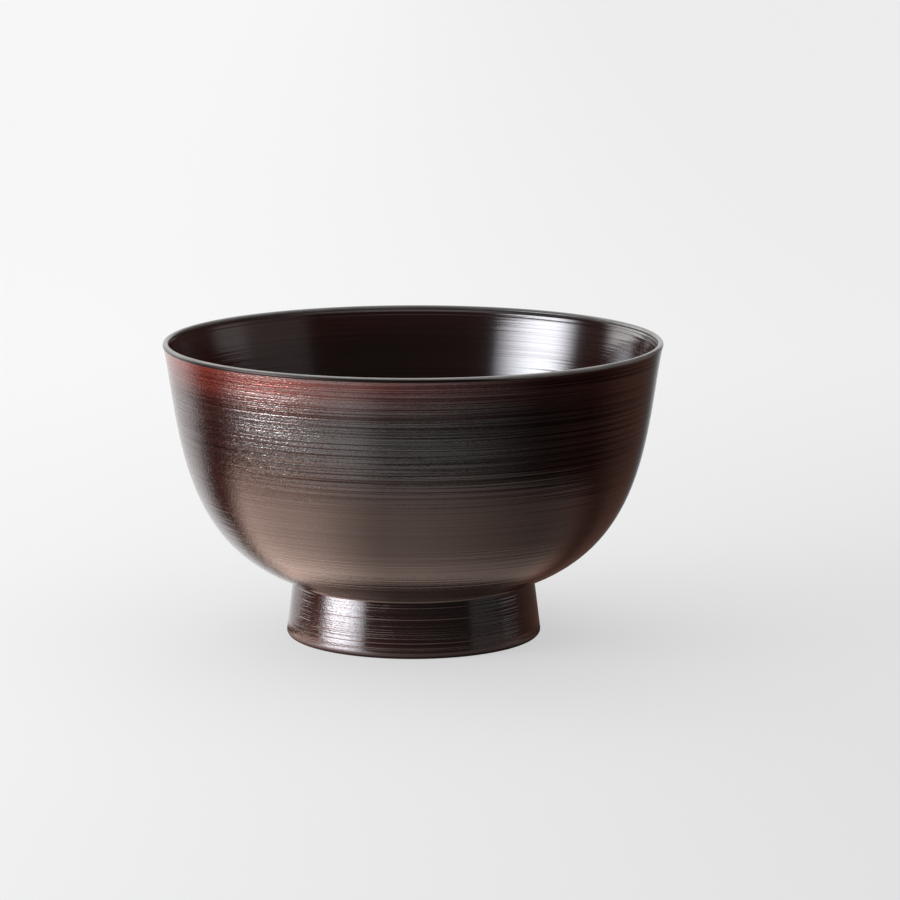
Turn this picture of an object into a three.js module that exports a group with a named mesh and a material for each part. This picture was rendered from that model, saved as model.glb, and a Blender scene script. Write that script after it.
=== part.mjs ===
// A lacquered wooden soup bowl: a turned core with its foot ring, under two undercoats and five top coats.
// Millimetres, +Z up. The origin is the middle of the flat ring that the bowl stands on.
import * as THREE from "three";

// Sizes over the finished lacquer
const RIM_DIAMETER = 120; // over the outside of the lip bead
const HEIGHT = 71.7; // from the standing ring to the top of the lip

// The outside of the body, one swelling curve from the crease at the foot up to the lip bead
const UNDERSIDE_RISE = 18.8; // degrees that the underside rises away from the foot
const UNDERSIDE_PULL = 29.2; // how far the curve keeps to the underside
const OUTSIDE_LEAN = 11.3; // degrees that the upper wall leans out from upright
const OUTSIDE_WALL_PULL = 19; // how far the curve keeps to the leaning wall

// The wall, which thickens evenly from the lip down to the foot, and the floor
const LIP_WALL = 1.1; // just below the lip bead
const BASE_WALL = 4.8; // above the crease at the foot
const FLOOR_THICKNESS = 4.6; // between the floor and the foot well

// The lip, a rounded bead that stands out a little past the wall on both sides
const LIP_OVERHANG_OUTSIDE = 0.13;
const LIP_OVERHANG_INSIDE = 0.12;

// The foot ring, which flares towards its standing edge
const FOOT_TOP_DIAMETER = 58.4; // at the crease under the body
const FOOT_BOTTOM_DIAMETER = 61.8; // at the standing edge, before the edge is rounded
const FOOT_HEIGHT = 13.7; // from the standing ring up to the crease
const FOOT_EDGE_RADIUS = 1; // rounding of the outer standing edge
const FOOT_CREASE_RADIUS = 0.45; // rounding in the crease under the body
const FOOT_RING_WIDTH = 4; // flat standing ring and the rounded edge together
const FOOT_WELL_CEILING_DROP = 2.4; // how far the well's ceiling lies below the crease
const FOOT_WELL_DRAFT = 6; // degrees that the well narrows towards its ceiling
const FOOT_WELL_FILLET = 2; // between the well's wall and its ceiling

// The lacquer, each film being several brushed layers thick
const TOP_COAT = 0.15;
const UNDERCOAT = 0.1;
const BOND_GAP = 0.01; // clearance between films, so that each stays a solid of its own

// Fineness of the turned faces
const TURN_STEPS = 48;
const BODY_STEPS = 7;
const FLOOR_STEPS = 3;
const EDGE_STEPS = 2;

const point = (radius, height) => new THREE.Vector2(radius, height);
const degrees = THREE.MathUtils.degToRad;

// A point at some distance from another, in a direction counted from level, outwards and up.
function reach(from, angle, distance) {
  return point(from.x + distance * Math.cos(angle), from.y + distance * Math.sin(angle));
}

// The round stretch of a corner between two straight lines that leave it in the given directions.
function roundedCorner(corner, towardsFirst, towardsSecond, radius, steps) {
  const half = (towardsSecond - towardsFirst) / 2;
  const middle = (towardsFirst + towardsSecond) / 2;
  const centre = reach(corner, middle, radius / Math.abs(Math.sin(half)));
  const sweep = Math.sign(half) * (Math.PI / 2) - half;
  const facing = (i) => middle + Math.PI + sweep * (1 - (2 * i) / steps);
  return Array.from({ length: steps + 1 }, (_, i) => reach(centre, facing(i), radius));
}

const footTop = point(FOOT_TOP_DIAMETER / 2, FOOT_HEIGHT);
const footBottom = point(FOOT_BOTTOM_DIAMETER / 2, 0);
const footWellDepth = FOOT_HEIGHT - FOOT_WELL_CEILING_DROP;
const floorLevel = footWellDepth + FLOOR_THICKNESS;

// The rounded crease in three places: on the foot, in the middle, where two top coats meet, and on the body.
const footWallUp = Math.atan2(footTop.y - footBottom.y, footTop.x - footBottom.x);
const [creaseFoot, creaseMiddle, creaseBody] = roundedCorner(
  footTop,
  footWallUp - Math.PI,
  degrees(UNDERSIDE_RISE),
  FOOT_CREASE_RADIUS,
  EDGE_STEPS,
);

// The lip bead, and the places where the outside and inside walls run into it.
const beadRadius = (LIP_OVERHANG_OUTSIDE + LIP_WALL + LIP_OVERHANG_INSIDE) / 2;
const beadCentre = point(RIM_DIAMETER / 2 - beadRadius, HEIGHT - beadRadius);
const outsideBeadAngle = -Math.acos(1 - LIP_OVERHANG_OUTSIDE / beadRadius);
const insideBeadAngle = Math.PI + Math.acos(1 - LIP_OVERHANG_INSIDE / beadRadius);
const lipOutside = reach(beadCentre, outsideBeadAngle, beadRadius);

// The outside of the body, from the crease up to the lip bead.
const swell = new THREE.CubicBezierCurve(
  footTop,
  reach(footTop, degrees(UNDERSIDE_RISE), UNDERSIDE_PULL),
  reach(lipOutside, degrees(-90 - OUTSIDE_LEAN), OUTSIDE_WALL_PULL),
  lipOutside,
);

// The inside of the wall, opposite a place on the outside: 0 is at the crease and 1 at the lip bead.
function insideAt(place) {
  const along = swell.getTangent(place);
  const inwards = point(-along.y, along.x);
  const wall = THREE.MathUtils.lerp(BASE_WALL, LIP_WALL, place);
  return swell.getPoint(place).addScaledVector(inwards, wall);
}

// The hollow inside the foot ring, from the middle of its ceiling out and down to the standing ring.
function footWellOutline() {
  const mouth = point(footBottom.x - FOOT_RING_WIDTH, 0);
  const wallUp = degrees(90 + FOOT_WELL_DRAFT);
  const corner = reach(mouth, wallUp, footWellDepth / Math.sin(wallUp));
  const fillet = roundedCorner(corner, Math.PI, wallUp + Math.PI, FOOT_WELL_FILLET, EDGE_STEPS);
  return [point(0, footWellDepth), ...fillet, mouth];
}

// The standing ring, its rounded edge, and the flared wall up to the crease under the body.
function footOutline() {
  const edge = roundedCorner(footBottom, Math.PI, footWallUp, FOOT_EDGE_RADIUS, EDGE_STEPS);
  return [...edge, creaseFoot, creaseMiddle];
}

// The swelling outside, from the crease up to the lip bead.
function bodyOutline() {
  return [creaseBody, ...swell.getPoints(BODY_STEPS).slice(1)];
}

// The rounded lip, from the outside wall over the top to the inside wall.
const lipAngles = [0, degrees(45), degrees(90), degrees(135), degrees(180), insideBeadAngle];
function lipOutline() {
  return lipAngles.map((angle) => reach(beadCentre, angle, beadRadius));
}

// The inside, from the lip bead down the wall, round a soft turn and level to the middle of the floor.
function insideOutline() {
  const wall = Array.from({ length: BODY_STEPS - 1 }, (_, i) => insideAt(1 - (i + 1) / BODY_STEPS));
  const wallFoot = insideAt(0);
  const fall = (wallFoot.y - floorLevel) / Math.sin(degrees(UNDERSIDE_RISE));
  const turn = reach(wallFoot, degrees(180 + UNDERSIDE_RISE), fall);
  const floor = new THREE.QuadraticBezierCurve(wallFoot, turn, point(0, floorLevel));
  return [...wall, ...floor.getPoints(FLOOR_STEPS)];
}

// The finished surface as one line, with the wood on its left, and the places where two top coats meet.
const stretches = [footWellOutline(), footOutline(), bodyOutline(), lipOutline(), insideOutline()];
const outline = stretches.flat();
const [wellEnd, footEnd, bodyEnd, lipEnd, floorMiddle] = stretches.map(
  (_, i) => stretches.slice(0, i + 1).flat().length - 1,
);
const lipTop = bodyEnd + 1 + lipAngles.indexOf(degrees(90));

// The finished surface moved into the wood by a depth, keeping its corners sharp and its ends on the axis.
function surfaceAt(depth) {
  const acrossTheAxis = (place) => point(-place.x, place.y);
  const run = [acrossTheAxis(outline[1]), ...outline, acrossTheAxis(outline.at(-2))];
  const leftOf = (from, to) => {
    const along = to.clone().sub(from).normalize();
    return point(-along.y, along.x);
  };
  return outline.map((here, i) => {
    const before = leftOf(run[i], here);
    const after = leftOf(here, run[i + 2]);
    const mitre = before.clone().add(after).divideScalar(1 + before.dot(after));
    return here.clone().addScaledVector(mitre, depth);
  });
}

// A solid turned about the bowl's axis from a profile that closes on itself or ends on the axis.
function turned(profile) {
  const geometry = new THREE.LatheGeometry(profile, TURN_STEPS);
  return geometry.rotateX(Math.PI / 2);
}

// A film of lacquer over one stretch of the surface, between two depths.
function film(from, to, depth, thickness) {
  const face = surfaceAt(depth).slice(from, to + 1);
  const back = surfaceAt(depth + thickness).slice(from, to + 1).reverse();
  if (from === 0) return turned([...face, ...back]);
  if (to === floorMiddle) return turned([...back, ...face]);
  return turned([...face, ...back, face[0]]);
}

const undercoatDepth = TOP_COAT + BOND_GAP;
const woodDepth = undercoatDepth + UNDERCOAT + BOND_GAP;

const wood = new THREE.MeshStandardMaterial({ color: 0xb08a5c, roughness: 0.7, metalness: 0 });
const redLacquer = new THREE.MeshStandardMaterial({ color: 0x6e1a12, roughness: 0.45, metalness: 0 });
const brushedLacquer = new THREE.MeshStandardMaterial({ color: 0x2a1210, roughness: 0.3, metalness: 0 });
const plainLacquer = new THREE.MeshStandardMaterial({ color: 0x1c1412, roughness: 0.3, metalness: 0 });

const pieces = [
  ["wood_core", wood, turned(surfaceAt(woodDepth))],
  ["outside_undercoat", redLacquer, film(wellEnd, lipTop, undercoatDepth, UNDERCOAT)],
  ["inside_undercoat", redLacquer, film(lipTop, floorMiddle, undercoatDepth, UNDERCOAT)],
  ["foot_well_coat", plainLacquer, film(0, wellEnd, 0, woodDepth - BOND_GAP)],
  ["foot_coat", brushedLacquer, film(wellEnd, footEnd, 0, TOP_COAT)],
  ["body_coat", brushedLacquer, film(footEnd, bodyEnd, 0, TOP_COAT)],
  ["lip_coat", plainLacquer, film(bodyEnd, lipEnd, 0, TOP_COAT)],
  ["inside_coat", brushedLacquer, film(lipEnd, floorMiddle, 0, TOP_COAT)],
];

const bowl = new THREE.Group();
for (const [name, material, geometry] of pieces) {
  const piece = new THREE.Mesh(geometry, material);
  piece.name = name;
  bowl.add(piece);
}

export default bowl;
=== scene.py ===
# A lacquered wooden soup bowl, with the coats that cover it, standing on a pale studio floor.
# Metres, +Z up. The bowl's axis is Z, its foot stands at the origin, and the camera looks along +Y.
import math
from itertools import accumulate

import bmesh
import bpy
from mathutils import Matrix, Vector, geometry, noise


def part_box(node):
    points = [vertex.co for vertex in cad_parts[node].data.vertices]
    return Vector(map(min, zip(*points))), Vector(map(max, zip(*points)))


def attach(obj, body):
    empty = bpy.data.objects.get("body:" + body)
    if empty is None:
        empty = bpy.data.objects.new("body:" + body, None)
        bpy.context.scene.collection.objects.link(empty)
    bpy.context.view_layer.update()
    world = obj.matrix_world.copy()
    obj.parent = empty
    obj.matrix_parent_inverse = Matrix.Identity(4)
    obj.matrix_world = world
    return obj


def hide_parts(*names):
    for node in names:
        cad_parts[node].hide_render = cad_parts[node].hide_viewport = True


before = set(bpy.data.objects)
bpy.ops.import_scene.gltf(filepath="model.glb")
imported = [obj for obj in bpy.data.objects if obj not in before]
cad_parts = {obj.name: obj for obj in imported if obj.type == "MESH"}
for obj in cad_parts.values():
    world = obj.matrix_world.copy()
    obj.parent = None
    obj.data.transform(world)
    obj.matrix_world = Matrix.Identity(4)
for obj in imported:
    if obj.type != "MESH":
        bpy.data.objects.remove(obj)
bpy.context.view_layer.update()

# The wooden core: body and foot ring are turned in one from a block of light, fine-grained wood.
# The wall thins evenly from the foot up to the lip, where a rounded bead is left standing.
# The lacquer covers all of it, so the core is the bowl's finished outline moved in by the coats.
rim_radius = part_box("lip_coat")[1].x
bowl_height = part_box("lip_coat")[1].z
underside_rise = math.radians(18.8)
underside_pull = 0.0292
outside_lean = math.radians(11.3)
outside_wall_pull = 0.019
lip_wall = 0.0011
base_wall = 0.0048
floor_thickness = 0.0046
lip_overhang_outside = 0.00013
lip_overhang_inside = 0.00012
foot_top_radius = 0.0292
foot_bottom_radius = 0.0309
foot_height = 0.0137
foot_edge_radius = 0.001
foot_crease_radius = 0.00045
foot_ring_width = 0.004
well_ceiling_drop = 0.0024
well_draft = math.radians(6)
well_fillet = 0.002
top_coat = 0.00015
undercoat = 0.0001
bond_gap = 0.00001
hidden_turns = 120


def reach(start, angle, distance):
    """A point at some distance from another, in a direction counted from level, outwards and up."""
    return start + distance * Vector((math.cos(angle), math.sin(angle)))


def arc(centre, radius, first, last):
    """Points on a circle, from one direction round to another."""
    steps = 24
    return [reach(centre, first + (last - first) * i / steps, radius) for i in range(steps + 1)]


def rounded_corner(corner, towards_first, towards_second, radius):
    """The round stretch of a corner between two straight lines that leave it in the given directions."""
    half = (towards_second - towards_first) / 2
    middle = (towards_first + towards_second) / 2
    sweep = math.copysign(math.pi / 2, half) - half
    centre = reach(corner, middle, radius / abs(math.sin(half)))
    return arc(centre, radius, middle + math.pi + sweep, middle + math.pi - sweep)


def lengths_along(line):
    """How far along the line each of its points lies."""
    return [0, *accumulate((ahead - here).length for here, ahead in zip(line, line[1:]))]


def evenly(line, gap):
    """The same line with its points about one gap apart."""
    lengths = lengths_along(line)
    steps = max(2, round(lengths[-1] / gap))
    points = [line[0]]
    i = 0
    for step in range(1, steps):
        wanted = lengths[-1] * step / steps
        while lengths[i + 1] < wanted:
            i += 1
        share = (wanted - lengths[i]) / (lengths[i + 1] - lengths[i])
        points.append(line[i].lerp(line[i + 1], share))
    return [*points, line[-1]]


crease = Vector((foot_top_radius, foot_height))
standing_edge = Vector((foot_bottom_radius, 0))
foot_wall_angle = math.atan2(crease.y - standing_edge.y, crease.x - standing_edge.x)
well_mouth = Vector((foot_bottom_radius - foot_ring_width, 0))
well_depth = foot_height - well_ceiling_drop
floor_level = well_depth + floor_thickness
bead_radius = (lip_overhang_outside + lip_wall + lip_overhang_inside) / 2
bead = Vector((rim_radius - bead_radius, bowl_height - bead_radius))
bead_start = -math.acos(1 - lip_overhang_outside / bead_radius)
bead_end = math.pi + math.acos(1 - lip_overhang_inside / bead_radius)
lip_outside = reach(bead, bead_start, bead_radius)
lip_inside = reach(bead, bead_end, bead_radius)
swell_steps = 400
swell = geometry.interpolate_bezier(
    crease,
    reach(crease, underside_rise, underside_pull),
    reach(lip_outside, -math.pi / 2 - outside_lean, outside_wall_pull),
    lip_outside,
    swell_steps + 1,
)


def well_line():
    """The hollow under the foot, from the middle of its ceiling out and down to its mouth."""
    wall_up = math.pi / 2 + well_draft
    corner = reach(well_mouth, wall_up, well_depth / math.sin(wall_up))
    fillet = rounded_corner(corner, math.pi, wall_up + math.pi, well_fillet)
    return [Vector((0, well_depth)), *fillet, well_mouth]


def foot_and_body_lines():
    """The foot from the well's mouth to the middle of the crease, and the body from there to the lip."""
    edge = rounded_corner(standing_edge, math.pi, foot_wall_angle, foot_edge_radius)
    fillet = rounded_corner(crease, foot_wall_angle - math.pi, underside_rise, foot_crease_radius)
    middle = len(fillet) // 2
    body = [point for point in swell if point.x > fillet[-1].x]
    return [well_mouth, *edge, *fillet[: middle + 1]], [*fillet[middle:], *body]


def inside_line():
    """The inside, from the lip down the wall, round a soft turn and level to the middle of the floor."""
    wall = []
    for i in range(swell_steps - 1, 0, -1):
        along = (swell[i + 1] - swell[i - 1]).normalized()
        thickness = base_wall + (lip_wall - base_wall) * i / swell_steps
        wall.append(swell[i] + thickness * Vector((-along.y, along.x)))
    wall_foot = wall[-1]
    middle = Vector((0, floor_level))
    turn = reach(wall_foot, math.pi + underside_rise, (wall_foot.y - floor_level) / math.sin(underside_rise))
    handles = [end.lerp(turn, 2 / 3) for end in (wall_foot, middle)]
    floor_points = 60
    floor = geometry.interpolate_bezier(wall_foot, *handles, middle, floor_points)
    return [lip_inside, *wall, *floor[1:]]


foot_line, body_line = foot_and_body_lines()
stretches = [
    evenly(well_line(), gap=0.0004),
    evenly(foot_line, gap=0.00016),
    evenly(body_line, gap=0.0002),
    evenly(arc(bead, bead_radius, bead_start, bead_end), gap=0.0001),
    evenly(inside_line(), gap=0.00026),
]
outline = stretches[0] + [point for stretch in stretches[1:] for point in stretch[1:]]
ends = list(accumulate(len(stretch) - 1 for stretch in stretches))
well_end, foot_end, body_end, lip_end, floor_middle = ends
lip_top = max(range(body_end, lip_end), key=lambda i: outline[i].y)
lengths = lengths_along(outline)
from_lip = [lengths[lip_top] - length for length in lengths]


def surface_at(depth):
    """The finished outline moved into the wood by a depth, with its ends kept on the axis."""
    flipped = Vector((-1, 1))
    run = [outline[1] * flipped, *outline, outline[-2] * flipped]
    moved = []
    for before, here, after in zip(run, run[1:], run[2:]):
        first = (here - before).orthogonal().normalized()
        second = (after - here).orthogonal().normalized()
        moved.append(here + depth * (first + second) / (1 + first.dot(second)))
    return moved


def turned(name, profile, turns, marks=None):
    """A piece turned about Z from a profile of (point, distance from the lip, share of brush marks)."""
    sharp = math.radians(40)
    shape = bmesh.new()
    distance = shape.verts.layers.float.new("from_lip")
    share = shape.verts.layers.float.new("marked")
    last_row = len(profile) - 1
    bmesh.ops.create_grid(shape, x_segments=turns, y_segments=last_row, size=1)
    for vertex in shape.verts:
        turn = math.pi * vertex.co.x
        row = round((vertex.co.y + 1) / 2 * last_row)
        point, vertex[distance], vertex[share] = profile[row]
        vertex.co = (point.x * math.cos(turn), point.x * math.sin(turn), point.y)
    bmesh.ops.remove_doubles(shape, verts=shape.verts, dist=1e-7)
    bmesh.ops.recalc_face_normals(shape, faces=shape.faces)
    if marks:
        brushed = [vertex for vertex in shape.verts if vertex[share]]
        for vertex in brushed:
            vertex.co += marks(vertex.co.x, vertex.co.y, vertex[distance]) * vertex[share] * vertex.normal
    for face in shape.faces:
        face.smooth = True
    for edge in shape.edges:
        edge.smooth = edge.calc_face_angle(0) < sharp
    mesh = bpy.data.meshes.new(name)
    shape.to_mesh(mesh)
    shape.free()
    piece = bpy.data.objects.new(name, mesh)
    bpy.context.scene.collection.objects.link(piece)
    return piece


class Shade:
    """An output of a node. The arithmetic signs add Math nodes, and make() adds any other node."""

    def __init__(self, tree, socket=None):
        self.tree = tree
        self.socket = socket

    def make(self, kind, inputs=None, output=0, **settings):
        """Adds a node with its settings, then the values or links of its sockets, and gives an output."""
        node = self.tree.nodes.new("ShaderNode" + kind)
        for name, value in settings.items():
            setattr(node, name, value)
        for name, value in (inputs or {}).items():
            if isinstance(value, Shade):
                self.tree.links.new(value.socket, node.inputs[name])
            else:
                node.inputs[name].default_value = value
        return Shade(self.tree, node.outputs[output]) if node.outputs else None

    def other(self, output):
        """Another output of the same node."""
        return Shade(self.tree, self.socket.node.outputs[output])

    def math(self, operation, first, second=0):
        return self.make("Math", {0: first, 1: second}, operation=operation)

    def __add__(self, other):
        return self.math("ADD", self, other)

    def __radd__(self, other):
        return self.math("ADD", other, self)

    def __sub__(self, other):
        return self.math("SUBTRACT", self, other)

    def __rsub__(self, other):
        return self.math("SUBTRACT", other, self)

    def __mul__(self, other):
        return self.math("MULTIPLY", self, other)

    def __rmul__(self, other):
        return self.math("MULTIPLY", other, self)

    def __truediv__(self, other):
        return self.math("DIVIDE", self, other)

    def __rtruediv__(self, other):
        return self.math("DIVIDE", other, self)

    def ramp(self, low, high):
        """0 up to low, 1 from high on, and a soft step between; low may be the larger."""
        inputs = {"Value": self, "From Min": low, "From Max": high}
        return self.make("MapRange", inputs, interpolation_type="SMOOTHSTEP")

    def band(self, start, full, last, end):
        """1 between full and last, with soft steps down to 0 at start and at end."""
        return self.ramp(start, full) * self.ramp(end, last)

    def tint(self, first, second):
        """The first colour where this value is 0, and the second where it is 1."""
        return self.make("Mix", {0: self, 6: first, 7: second}, output=2, data_type="RGBA")


def new_material(name):
    material = bpy.data.materials.new(name)
    material.use_nodes = True
    material.node_tree.nodes.clear()
    return material, Shade(material.node_tree)


def surface(nodes, inputs):
    """Makes these the inputs of the material's one shader."""
    shader = nodes.make("BsdfPrincipled", inputs)
    nodes.make("OutputMaterial", {"Surface": shader})


def cover(piece, node, material):
    """Gives a piece its material and slot, and lets it stand for one node of the solid bowl."""
    piece.data.materials.append(material)
    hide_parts(node)
    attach(piece, "root")


def wood_material():
    pale_wood = (0.62, 0.44, 0.25, 1)
    dark_wood = (0.36, 0.22, 0.11, 1)
    material, nodes = new_material("turned_wood")
    place = nodes.make("TexCoord", output="Object")
    grain_place = nodes.make("Mapping", {"Vector": place, "Scale": (260, 900, 120)})
    grain = nodes.make("TexNoise", {"Vector": grain_place, "Scale": 1, "Detail": 5, "Roughness": 0.6})
    ring_place = nodes.make("Mapping", {"Vector": place, "Location": (0.04, 0.2, 0), "Scale": (1, 1, 0.3)})
    ring_values = {"Vector": ring_place, "Scale": 45, "Distortion": 3, "Detail": 3}
    rings = nodes.make("TexWave", ring_values, output="Fac")
    colour = (rings * 0.55 + grain * 0.45).tint(pale_wood, dark_wood)
    bump = nodes.make("Bump", {"Height": grain, "Strength": 0.3, "Distance": 0.0002})
    surface(nodes, {"Base Color": colour, "Roughness": 0.55 + grain * 0.2, "Normal": bump})
    return material


undercoat_depth = top_coat + bond_gap
wood_depth = undercoat_depth + undercoat + bond_gap
core_step = 4
core_rows = [i for i in range(floor_middle + 1) if i % core_step == 0 or i in ends]
core_surface = surface_at(wood_depth)
core_profile = [(core_surface[i], from_lip[i], 0) for i in core_rows]
core = turned("wood_core_turned", core_profile, hidden_turns)
cover(core, "wood_core", wood_material())

# The undercoats: red lacquer brushed over the sealed wood, outside and inside in separate passes that
# meet on top of the lip. The top coat hides them, and its own colour has the red that shows through.
undercoat_step = 4


def film(name, first, last, depth, thickness, turns, face_step=1, marks=None):
    """A coat over one stretch of the outline, its brush marks fading out where it meets other coats."""
    back_step = 12
    close_rows = 6
    fade = 0.0006
    edges = [from_lip[i] for i in (first, last) if i not in (0, floor_middle)]
    front = surface_at(depth)
    rear = surface_at(depth + thickness)

    def rows(step):
        """Every row close to where two coats meet, and one row in each step elsewhere."""
        return [
            i
            for i in range(first, last + 1)
            if i % step == 0 or min(abs(i - end) for end in ends) < close_rows
        ]

    def marked(i):
        return min(1, *(abs(from_lip[i] - edge) / fade for edge in edges))

    face = [(front[i], from_lip[i], marked(i)) for i in rows(face_step)]
    back = [(rear[i], from_lip[i], 0) for i in reversed(rows(back_step))]
    profile = back + face if last == floor_middle else face + back
    if len(edges) == 2:
        profile.append(profile[0])
    return turned(name, profile, turns, marks)


def undercoat_material():
    deep_red = (0.16, 0.014, 0.009, 1)
    bright_red = (0.24, 0.026, 0.014, 1)
    material, nodes = new_material("red_undercoat")
    place = nodes.make("TexCoord", output="Object")
    stroke_place = nodes.make("Mapping", {"Vector": place, "Scale": (40, 40, 1600)})
    strokes = nodes.make("TexNoise", {"Vector": stroke_place, "Scale": 1, "Detail": 3})
    colour = strokes.ramp(0.35, 0.7).tint(deep_red, bright_red)
    bump = nodes.make("Bump", {"Height": strokes, "Strength": 0.4, "Distance": 0.00005})
    surface(nodes, {"Base Color": colour, "Roughness": 0.35 + strokes * 0.2, "Normal": bump})
    return material


def red_film(name, first, last):
    return film(name, first, last, undercoat_depth, undercoat, hidden_turns, undercoat_step)


red_lacquer = undercoat_material()
outside_red = red_film("outside_undercoat_red", well_end, lip_top)
cover(outside_red, "outside_undercoat", red_lacquer)
inside_red = red_film("inside_undercoat_red", lip_top, floor_middle)
cover(inside_red, "inside_undercoat", red_lacquer)

# The plain coat in the hollow under the foot: one flowed coat of black-brown lacquer straight on the
# wood, smooth but for a little orange peel and clouding.
shown_turns = 240
well_step = 4


def flowed_lacquer_material():
    black_brown = (0.016, 0.01, 0.009, 1)
    clouded_brown = (0.03, 0.016, 0.013, 1)
    material, nodes = new_material("flowed_lacquer")
    place = nodes.make("TexCoord", output="Object")
    flow = nodes.make("TexNoise", {"Vector": place, "Scale": 420, "Detail": 2})
    cloud = nodes.make("TexNoise", {"Vector": place, "Scale": 60, "Detail": 3})
    colour = cloud.ramp(0.35, 0.7).tint(black_brown, clouded_brown)
    bump = nodes.make("Bump", {"Height": flow, "Strength": 0.25, "Distance": 0.00005})
    values = {"Base Color": colour, "Roughness": 0.28 + cloud * 0.1, "Normal": bump}
    surface(nodes, values | {"Coat Weight": 0.5, "Coat Roughness": 0.12})
    return material


well_coat = film("foot_well_coat_plain", 0, well_end, 0, wood_depth - bond_gap, shown_turns, well_step)
cover(well_coat, "foot_well_coat", flowed_lacquer_material())

# The brushed coat on the foot: dark lacquer drawn round with a stiff brush while the bowl turns.
# The bristles leave fine level furrows that wander and fade, and the red shows where the coat is thin.
foot_relief = 0.25
foot_fade = 0.001
foot_wall_end = min(from_lip[i] for i in range(well_end, foot_end) if outline[i].y < foot_edge_radius)


def brush_marks(x, y, length):
    """Height of the furrows at a place. They are long round the bowl and close along its wall."""

    def wave(long_way, close_way, shift=0):
        return noise.noise((x / long_way, y / long_way, length / close_way + shift))

    broad_height = 0.000016
    fine_height = 0.000013
    pressed = 0.9 + 0.8 * wave(0.03, 0.006, 90)
    return pressed * (broad_height * wave(0.04, 0.0007) + fine_height * wave(0.025, 0.0004, 50))


def foot_marks(x, y, length):
    """Shallow furrows on the foot's wall, and none on the ring that it stands on."""
    on_wall = min(1, max(0, (foot_wall_end - length) / foot_fade))
    return foot_relief * brush_marks(x, y, length) * on_wall


def brushed_lacquer_material(
    name, roughness, furrow_depth, grain_depth, dulling_and_shade, red_under_lip=0, red_all_over=0, lean=0, lip_lines=0
):
    """Dark lacquer with brush marks round the bowl, and with the red that shows where it is thin.

    The two depths and lip_lines are heights in tenths of a millimetre, lean is a slope that the shading
    gets along the wall, and dulling is how far the gloss is lost where the bristles cut into the coat,
    which is painted shade in the furrows.
    """
    black_brown = (0.012, 0.0055, 0.0045, 1)
    red_brown = (0.026, 0.007, 0.0055, 1)
    glowing_red = (0.22, 0.032, 0.018, 1)
    bump_unit = 0.0001
    material, nodes = new_material(name)
    x = nodes.make("SeparateXYZ", {"Vector": nodes.make("TexCoord", output="Object")})
    y = x.other("Y")
    z = x.other("Z")
    length = nodes.make("Attribute", output="Fac", attribute_name="from_lip")

    def strokes(long_way, close_way, detail=0):
        """Noise drawn out to one size round the bowl and to another along its wall."""
        spot = nodes.make("CombineXYZ", {"X": x / long_way, "Y": y / long_way, "Z": length / close_way})
        return nodes.make("TexNoise", {"Vector": spot, "Scale": 1, "Detail": detail, "Roughness": 0.55})

    def line_round(distance):
        half_width = 0.00018
        return nodes.math("ABSOLUTE", length - distance).ramp(half_width, 0)

    left = x.ramp(-0.005, -0.03)
    furrows = strokes(0.06, 0.0004)
    hairs = strokes(0.08, 0.0003)
    patches = strokes(0.03, 0.007, detail=2)
    grain = strokes(0.0004, 0.00027) * (0.3 + 0.7 * left)
    pits = strokes(0.0005, 0.00033).ramp(0.5, 0.34) * (0.15 + 0.85 * left)

    # Cuts and pits lose their gloss through a dark metallic, a painted shade for the furrows, most on the
    # upper body. The pits lie mostly on the left, where the lamp's sheen falls, and the cuts are a little
    # weaker at the far left.
    upper = length.ramp(0.036, 0.022)
    on_foot = z.ramp(0.0142, 0.0132)
    cuts = furrows.ramp(0.44, 0.28) * 0.3 + hairs.ramp(0.52, 0.36) * 0.7
    cuts = cuts * (1 - 0.35 * x.ramp(-0.02, -0.045)) * (0.2 + 0.8 * upper)
    pits = pits * (0.12 + 0.48 * upper + 0.3 * on_foot)
    dull_and_shaded = 1 - (1 - cuts) * (1 - pits)

    # Red shows in patches under the lip. It is stronger to the left, on the lamp's side, which is painted
    # light, and the little red on both sides is painted light on the left and a painted warm reflection on
    # the right
    close_to_lip = nodes.math("ABSOLUTE", length).ramp(0.016, 0.0005)
    thin = close_to_lip * close_to_lip * patches.ramp(-0.2, 0.6) * (0.03 + 0.7 * x.ramp(0.045, -0.05))
    sideways = x / nodes.math("SQRT", x * x + y * y)
    lit_and_reflected_sides = sideways.ramp(-0.1, -0.9) + 0.4 * sideways.ramp(0.1, 0.9)
    red = thin * red_under_lip + 0.085 * lit_and_reflected_sides + red_all_over
    streaks = furrows.ramp(0.52, 0.72) * patches.ramp(0.3, 0.7)
    colour = red.tint(streaks.tint(black_brown, red_brown), glowing_red)

    fine_lines = line_round(-0.0019) + line_round(-0.0028)
    height = furrows * furrow_depth + grain * grain_depth + length * (lean / bump_unit)
    height = height + fine_lines * lip_lines
    bump = nodes.make("Bump", {"Height": height, "Strength": 1, "Distance": bump_unit})
    rubbed = z.ramp(0.0022, 0.0008)
    values = {"Base Color": colour, "Roughness": roughness + grain * 0.06 + rubbed * 0.35, "Normal": bump}
    # Metallic on the dark base colour takes the gloss away: painted shade in the cuts and pits
    surface(nodes, values | {"Metallic": dull_and_shaded * dulling_and_shade, "IOR": 1.5, "Specular IOR Level": 1})
    return material


foot_coat = film("foot_coat_brushed", well_end, foot_end, 0, top_coat, shown_turns, marks=foot_marks)
foot_lacquer = brushed_lacquer_material(
    "brushed_foot",
    roughness=0.12,
    furrow_depth=0.5,
    grain_depth=0.3,
    dulling_and_shade=1,
    red_all_over=0.032,
    lean=0.032,
)
cover(foot_coat, "foot_coat", foot_lacquer)

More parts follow.
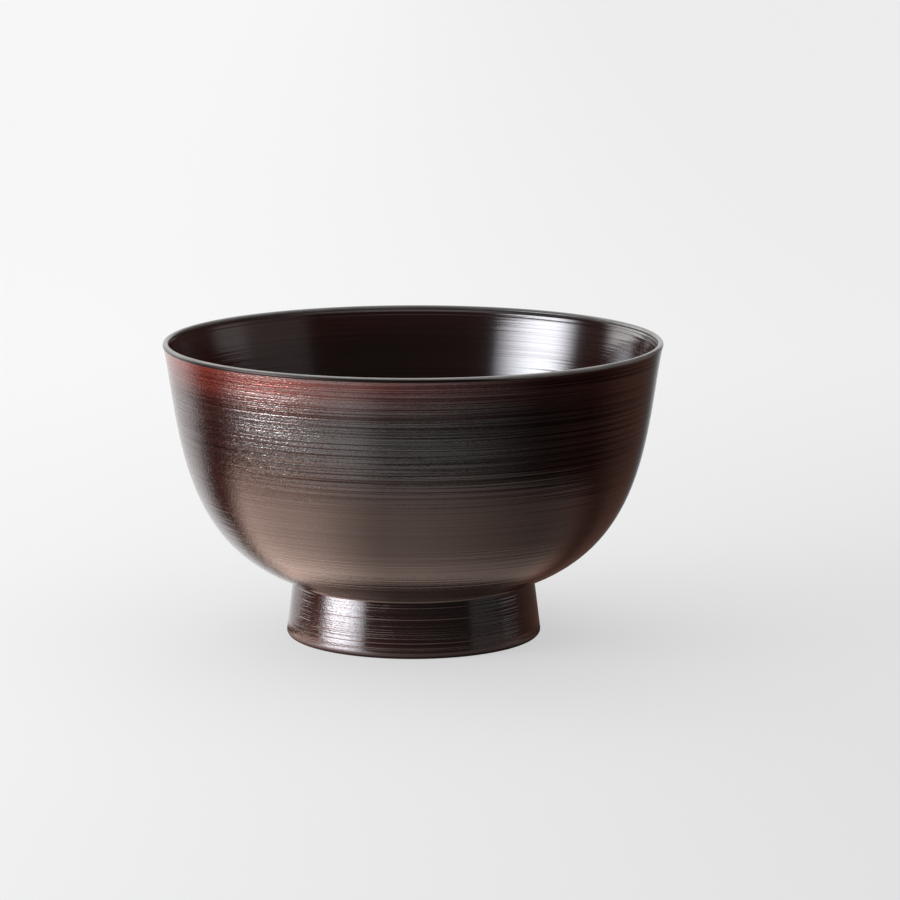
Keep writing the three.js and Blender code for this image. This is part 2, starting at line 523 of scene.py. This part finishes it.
# The brushed coat on the outside of the body, drawn round in overlapping strokes from foot to lip.
# It is thinnest just under the lip, where the red undercoat shows most.
body_coat = film("body_coat_brushed", foot_end, body_end, 0, top_coat, shown_turns, marks=brush_marks)
body_lacquer = brushed_lacquer_material(
    "brushed_body", roughness=0.1, furrow_depth=0.7, grain_depth=0.58, dulling_and_shade=0.9, red_under_lip=1
)
cover(body_coat, "body_coat", body_lacquer)

# The lip's own coat: the bead is lacquered last and left to flow, so it is smooth and shows no brush.
# Its top is a soft grey, partly rubbed by use and partly a painted highlight. Its outer edge is painted
# dark and dull, a painted shade under the bead, and the back right of the lip is darker with painted shade.
lip_coat = film("lip_coat_plain", body_end, lip_end, 0, top_coat, shown_turns)


def lip_lacquer_material():
    worn_and_sheen_grey = (0.11, 0.1, 0.094, 1)
    worn_and_sheen_pale = (0.16, 0.147, 0.136, 1)
    black_brown = (0.012, 0.008, 0.007, 1)
    back_right_shade_brown = (0.02, 0.015, 0.013, 1)
    material, nodes = new_material("lip_lacquer")
    place = nodes.make("TexCoord", output="Object")
    x = nodes.make("SeparateXYZ", {"Vector": place})
    length = nodes.make("Attribute", output="Fac", attribute_name="from_lip")
    cloud = nodes.make("TexNoise", {"Vector": place, "Scale": 160, "Detail": 3})
    # The top's pale grey is partly wear and partly a painted highlight
    rubbed = cloud.ramp(0.3, 0.7).tint(worn_and_sheen_grey, worn_and_sheen_pale)
    # Painted shade: the bead's outer face is dark and dull, reaching less far on the right
    shaded_outer_edge = (length - 0.0007 * x.ramp(0.005, 0.03)).ramp(0.0004, 0.0009)
    # Painted shade: the lip is darker at the back right
    shaded_back_right = 0.75 * x.other("Y").ramp(0.02, 0.05) * x.ramp(-0.04, 0.01)
    colour = shaded_back_right.tint(shaded_outer_edge.tint(rubbed, black_brown), back_right_shade_brown)
    bump = nodes.make("Bump", {"Height": cloud, "Strength": 0.2, "Distance": 0.0001})
    values = {"Base Color": colour, "Roughness": 0.27 + cloud * 0.1, "Metallic": shaded_outer_edge * 0.8, "Normal": bump}
    coat_weight = (0.4 - 0.2 * shaded_back_right) * (1 - shaded_outer_edge)
    surface(nodes, values | {"Coat Weight": coat_weight, "Coat Roughness": 0.12})
    return material


cover(lip_coat, "lip_coat", lip_lacquer_material())

# The brushed coat inside, drawn round like the outside but rubbed smoother for eating from.
# Two fine lines run round it just under the lip, left by the edge of the brush.
inside_relief = 0.12


def inside_marks(x, y, length):
    return inside_relief * brush_marks(x, y, length)


inside_coat = film("inside_coat_brushed", lip_end, floor_middle, 0, top_coat, shown_turns, marks=inside_marks)
inside_lacquer = brushed_lacquer_material(
    "brushed_inside",
    roughness=0.13,
    furrow_depth=0.2,
    grain_depth=0.1,
    dulling_and_shade=0.3,
    red_under_lip=0.1,
    red_all_over=0.008,
    lip_lines=0.2,
)
cover(inside_coat, "inside_coat", inside_lacquer)

# The studio floor: a wide sheet of white paper. The camera sees it evenly lit but for a little painted
# shade to the right and in front, with the bowl's shadow. Mirror rays see a painted reflection instead:
# the paper glows as a pool of light to the bowl's left, and darker, with bright stripes, in front and to its
# right.
floor_half_width = 4
floor_shape = bmesh.new()
bmesh.ops.create_grid(floor_shape, x_segments=1, y_segments=1, size=floor_half_width)
floor_mesh = bpy.data.meshes.new("studio_floor")
floor_shape.to_mesh(floor_mesh)
floor_shape.free()
floor = bpy.data.objects.new("studio_floor", floor_mesh)
bpy.context.scene.collection.objects.link(floor)


def paper_material():
    white = (1, 1, 1, 1)
    warm_white = (1.1, 0.82, 0.7, 1)
    russet = (1.2, 0.62, 0.48, 1)
    dim_grey = (0.3, 0.3, 0.3, 1)
    pale_grey = (0.7, 0.7, 0.7, 1)
    dark_mirror_glow = 0.03
    material, nodes = new_material("studio_paper")
    x = nodes.make("SeparateXYZ", {"Vector": nodes.make("TexCoord", output="Object")})
    y = x.other("Y")
    seen = nodes.make("LightPath", output="Is Camera Ray")
    mirrored = seen.other("Is Glossy Ray")

    # Painted reflection, a glow that only mirror rays see: what the bowl mirrors, by the degrees round
    # from its front, where its right counts up, and by how far away from its axis the paper lies
    turn = nodes.math("ARCTAN2", x, 0 - y) * math.degrees(1)
    away = nodes.math("SQRT", x * x + y * y)
    left = turn.ramp(-10, -52)
    front = turn.ramp(60, -10)
    near = (away - 0.026 * left).ramp(0.122, 0.108)
    lit_side = turn.ramp(-94, -82) * near + turn.ramp(-98, -64) * (1 - near)
    close_light = 1.3 * left + (0.22 + 0.5 * front + 0.3 * away.ramp(0.06, 0.04)) * turn.ramp(98, 70)
    stripes = 0.65 * away.band(0.095, 0.11, 0.127, 0.142) + 0.65 * away.band(0.16, 0.175, 0.2, 0.24)
    ring_light = 1.1 * turn.band(-8, -32, -45, -78) + (0.16 + stripes) * front
    outer_light = 3.2 * away.ramp(0.2, 0.22) + 9 * away.ramp(0.28, 0.34)
    outer_light = outer_light * turn.band(-36, -66, -72, -92)
    behind = 1.05 * (turn - 12 * away.ramp(0.1, 0.07)).ramp(-108, -122)
    behind = behind + 0.1 * turn.ramp(80, 110) + 0.95 * turn.ramp(140, 178)
    level = dark_mirror_glow + (close_light * near + ring_light * (1 - near)) * lit_side + outer_light + behind
    level = level * away.ramp(0.029, 0.038)
    # Painted warm reflection: the glow is tinted warm close to the bowl and russet to its right
    warm = near * turn.band(125, 100, -96, -112)
    glow = turn.band(60, 90, 125, 150).tint(warm.tint(white, warm_white), russet)
    mirror = nodes.make("Emission", {"Color": glow, "Strength": level})

    # What the camera sees: mostly an even white, with painted shade a little darker to the right and in front
    lit = nodes.make("BsdfDiffuse", {"Color": seen.tint(dim_grey, pale_grey)})
    even_level = 1 - 0.12 * x.ramp(-0.16, 0.2) - 0.19 * y.ramp(0.5, -0.2)
    even = nodes.make("Emission", {"Strength": even_level})
    paper = nodes.make("MixShader", {0: seen * 0.7, 1: lit, 2: even})
    paper = nodes.make("MixShader", {0: mirrored, 1: paper, 2: mirror})
    nodes.make("OutputMaterial", {"Surface": paper})
    return material


floor_mesh.materials.append(paper_material())

# The light: one wide softbox low on the left, and a room that is white behind the bowl, pale overhead,
# and dark in front of it and to its right, but for a few dim cards.
softbox_turn = math.radians(-69)
softbox_distance = 0.5
softbox_bottom = 0.0005
softbox_width = 0.46
softbox_tall = 0.248
softbox_glow = 14
softbox_colour = (0.96, 0.98, 1.05)
softbox = bpy.data.lights.new("softbox", "AREA")
softbox.shape = "RECTANGLE"
softbox.size = softbox_width
softbox.size_y = softbox_tall
softbox.color = softbox_colour
softbox.energy = softbox_glow * math.pi * softbox_width * softbox_tall
softbox.use_nodes = True
softbox.node_tree.nodes.clear()
lamp_nodes = Shade(softbox.node_tree)
across = lamp_nodes.make("SeparateXYZ", {"Vector": lamp_nodes.make("NewGeometry", output="Parametric")})
lamp_glow = lamp_nodes.make("Emission", {"Strength": across.band(-0.02, 0.36, 0.5, 1.12)})
lamp_nodes.make("OutputLight", {"Surface": lamp_glow})
softbox_lamp = bpy.data.objects.new("softbox", softbox)
bpy.context.scene.collection.objects.link(softbox_lamp)
softbox_facing = Vector((math.sin(softbox_turn), -math.cos(softbox_turn), 0))
softbox_rise = Vector((0, 0, softbox_bottom + softbox_tall / 2))
softbox_lamp.location = softbox_distance * softbox_facing + softbox_rise
softbox_lamp.rotation_euler = softbox_facing.to_track_quat("Z", "Y").to_euler()
softbox_lamp.visible_camera = False

room_white = 0.88
room_dark = 0.03
world = bpy.data.worlds.new("studio")
bpy.context.scene.world = world
world.use_nodes = True
world.node_tree.nodes.clear()
room = Shade(world.node_tree)
direction = room.make("SeparateXYZ", {"Vector": room.make("TexCoord", output="Generated")})
upward = direction.other("Z")
room_turn = room.math("ARCTAN2", direction, 0 - direction.other("Y")) * math.degrees(1)
backdrop = room_white * (1 - room_turn.ramp(-118, -108) + room_turn.ramp(150, 165))
overhead = 1.2 * upward.ramp(0.5, 0.65)
low_haze = 0.03 * upward.ramp(0.3, 0.05)
left_panel = 2 * room_turn.band(-150, -140, -116, -106) * upward.band(-0.05, 0.02, 0.3, 0.4)
right_card = 0.44 * room_turn.band(86, 98, 106, 118) * upward.band(-0.02, 0.02, 0.25, 0.3)
dim_card = 0.2 * room_turn.band(51, 57, 90, 100) * upward.band(-0.02, 0.02, 0.3, 0.4)
room_level = room_dark + low_haze + backdrop + overhead + left_panel + right_card + dim_card
to_camera = room.make("LightPath", output="Is Camera Ray")
room_level = to_camera * room_white + (1 - to_camera) * room_level
background = room.make("Background", {"Color": (1, 1, 1, 1), "Strength": room_level})
room.make("OutputWorld", {"Surface": background})

# The camera, where the photograph was taken from: a long lens a little above the lip.
# It is aimed to the right of the bowl's axis and above its middle, as the photograph is framed.
camera_distance = 0.9409
camera_rise = math.radians(10.661)
bowl_middle = Vector((0, 0, 0.035))
aim = Vector((0.00884, 0.00177, 0.04441))
camera = bpy.data.cameras.new("camera")
camera.sensor_width = 36
camera.lens = 155.73
camera_stand = bpy.data.objects.new("camera", camera)
bpy.context.scene.collection.objects.link(camera_stand)
camera_back = Vector((0, -math.cos(camera_rise), math.sin(camera_rise)))
camera_stand.location = bowl_middle + camera_distance * camera_back
camera_stand.rotation_euler = (aim - camera_stand.location).to_track_quat("-Z", "Y").to_euler()
bpy.context.scene.camera = camera_stand
bpy.context.scene.view_settings.view_transform = "Standard"
